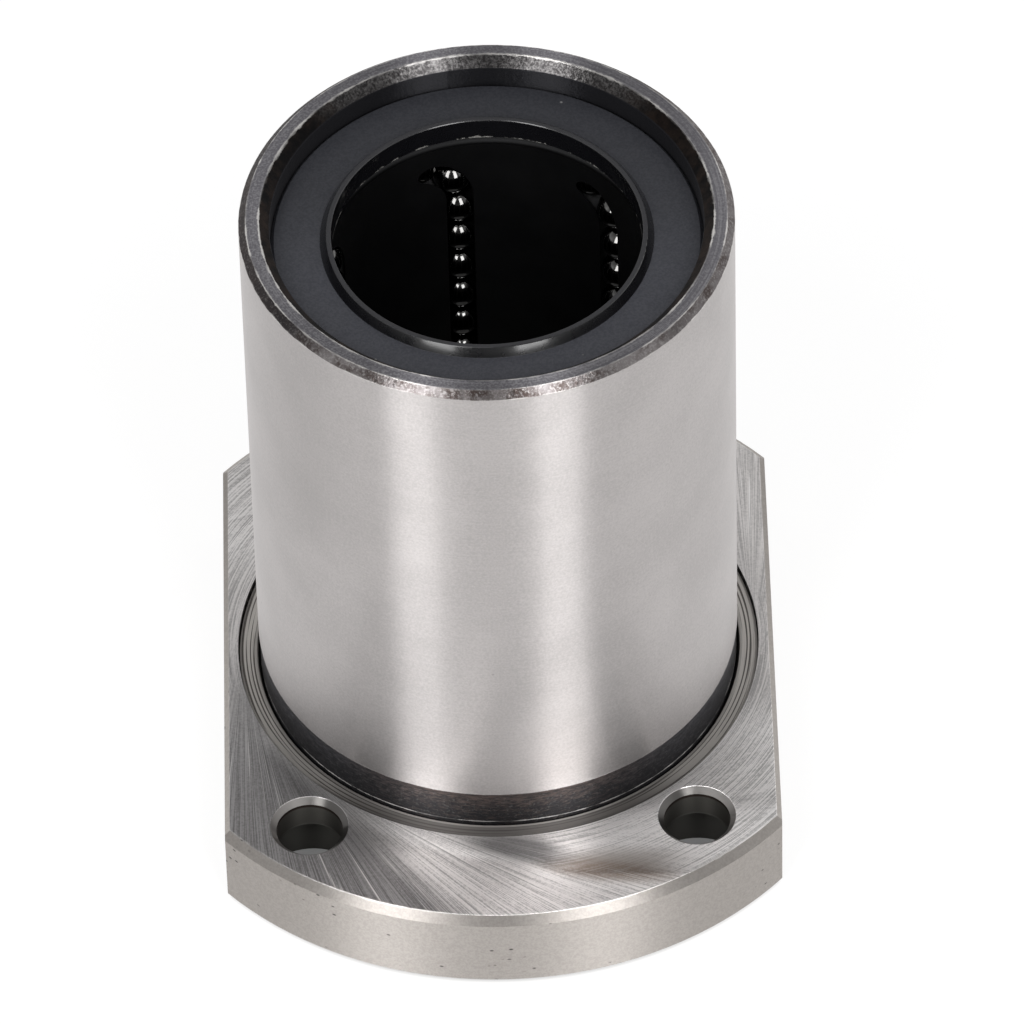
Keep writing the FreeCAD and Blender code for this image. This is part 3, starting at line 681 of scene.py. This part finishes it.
# camera at the photograph's viewpoint, angles in degrees
cameraSetup = {
    "lens": 399.7, "nearest": 0.01, "azimuth": 0.0388, "elevation": 46.887, "distance": 0.93553,
    "orbitHeight": 0.03, "aim": (0.00142, -0.00308, 0.02712), "roll": -1.5227,
}


def awayFrom(azimuth, elevation):  # direction out from the object, azimuth 0 towards the viewer
    turn, rise = math.radians(azimuth), math.radians(elevation)
    return Vector((math.sin(turn) * math.cos(rise), -math.cos(turn) * math.cos(rise), math.sin(rise)))


def addCamera(setup):
    camera = bpy.data.objects.new("photoCamera", bpy.data.cameras.new("photoCamera"))
    scene.collection.objects.link(camera)
    camera.data.lens = setup["lens"]
    camera.data.clip_start = setup["nearest"]
    camera.location = Vector((0, 0, setup["orbitHeight"]))
    camera.location += awayFrom(setup["azimuth"], setup["elevation"]) * setup["distance"]
    aim = (Vector(setup["aim"]) - camera.location).to_track_quat("-Z", "Y")
    camera.rotation_mode = "QUATERNION"
    camera.rotation_quaternion = aim @ Quaternion(axisZ, math.radians(setup["roll"]))
    scene.camera = camera


addCamera(cameraSetup)

# two tall soft boxes in front, left and right, and a low dim one between them
lampSetup = {"distance": 0.75, "aimHeight": 0.03}
lamps = [
    {"name": "leftBox", "azimuth": -32.0, "elevation": 31.0, "wide": 0.24, "tall": 0.85, "power": 3.7},
    {"name": "rightBox", "azimuth": 26.2, "elevation": 31.0, "wide": 0.24, "tall": 0.85, "power": 3.7},
    {"name": "lowFill", "azimuth": -2.75, "elevation": 5.5, "wide": 0.46, "tall": 0.15, "power": 0.29},
]


def addLamp(box, setup):
    lamp = bpy.data.objects.new(box["name"], bpy.data.lights.new(box["name"], "AREA"))
    scene.collection.objects.link(lamp)
    lamp.data.shape = "RECTANGLE"
    lamp.data.size = box["wide"]
    lamp.data.size_y = box["tall"]
    lamp.data.energy = box["power"]
    away = awayFrom(box["azimuth"], box["elevation"])
    lamp.location = Vector((0, 0, setup["aimHeight"])) + away * setup["distance"]
    lamp.rotation_mode = "QUATERNION"
    lamp.rotation_quaternion = (-away).to_track_quat("-Z", "Y")


for box in lamps:
    addLamp(box, lampSetup)


def seenDirectly(tree):  # 1 for camera, glossy and transmission rays
    path = tree.nodes.new("ShaderNodeLightPath").outputs
    seen = larger(tree, path["Is Camera Ray"], path["Is Glossy Ray"])
    return larger(tree, seen, path["Is Transmission Ray"])


# white room with a grey ceiling, dark behind the viewer and a little darker at the left
worldSetup = {
    "color": (1, 1, 1, 1), "light": 0.5, "ceilingSlope": (0.0, -0.2, 1.0),
    "wallsToCeiling": (0.25, 1.05, 1.0, 0.22), "viewerSide": (0.0, -1.0, 0.0), "darkWide": (0.3, 0.75),
    "darkAbove": (0.06, 0.22, 0.0, 0.85),
    "dimSide": (-0.978, 0.208, 0.0), "dimWide": (0.8, 1.0, 0.0, 0.35),
}


def addWorld(setup):
    world = bpy.data.worlds.new("studio")
    scene.world = world
    world.use_nodes = True
    tree = world.node_tree
    back = next(node for node in tree.nodes if node.type == "BACKGROUND")
    back.inputs["Color"].default_value = setup["color"]
    direction = tree.nodes.new("ShaderNodeTexCoord").outputs["Generated"]
    rise = vecCalc(tree, "DOT_PRODUCT", direction, setup["ceilingSlope"])  # lower towards the viewer
    shown = ramp(tree, rise, *setup["wallsToCeiling"])
    ahead = ramp(tree, vecCalc(tree, "DOT_PRODUCT", direction, setup["viewerSide"]), *setup["darkWide"])
    above = ramp(tree, vecCalc(tree, "DOT_PRODUCT", direction, axisZ), *setup["darkAbove"])
    level = vecCalc(tree, "NORMALIZE", vecCalc(tree, "MULTIPLY", direction, levelOnly))
    dim = ramp(tree, vecCalc(tree, "DOT_PRODUCT", level, setup["dimSide"]), *setup["dimWide"])
    shown = product(tree, shown, oneMinus(tree, larger(tree, product(tree, ahead, above), dim)))
    feed(tree, back.inputs["Strength"], blendValue(tree, seenDirectly(tree), setup["light"], shown))


addWorld(worldSetup)

# white table that keeps a faint shadow, and doesn't glow under the flange
floorSetup = {
    "size": 6.0, "pale": (0.8, 0.8, 0.8, 1), "shadowed": (0.28, 0.28, 0.28, 1), "glowColor": (1, 1, 1, 1),
    "flangeRadius": 31.0, "flangeFlat": 23.0, "glow": (-1.2, 0.0, 0.1, 0.78),
}


def addFloor(setup):
    bpy.ops.mesh.primitive_plane_add(size=setup["size"], location=(0, 0, 0))
    floor = bpy.context.object
    floor.name = "floor"
    finish, tree, shader, place = newFinish("whiteTable", Roughness=1.0, Specular_IOR_Level=0.0)
    seen = seenDirectly(tree)
    feed(tree, shader["Base Color"], blendColor(tree, seen, setup["pale"], setup["shadowed"]))
    shader["Emission Color"].default_value = setup["glowColor"]
    reach = vecCalc(tree, "LENGTH", vecCalc(tree, "MULTIPLY", place, (toMm, toMm, 0.0)))
    pastArc = calc(tree, "SUBTRACT", reach, setup["flangeRadius"])
    sideways = calc(tree, "ABSOLUTE", mmAlong(tree, place, axisX))
    pastFlat = calc(tree, "SUBTRACT", sideways, setup["flangeFlat"])
    glow = ramp(tree, larger(tree, pastArc, pastFlat), *setup["glow"])
    feed(tree, shader["Emission Strength"], product(tree, seen, glow))
    floor.data.materials.append(finish)


addFloor(floorSetup)
print("camera, lamps and table set")
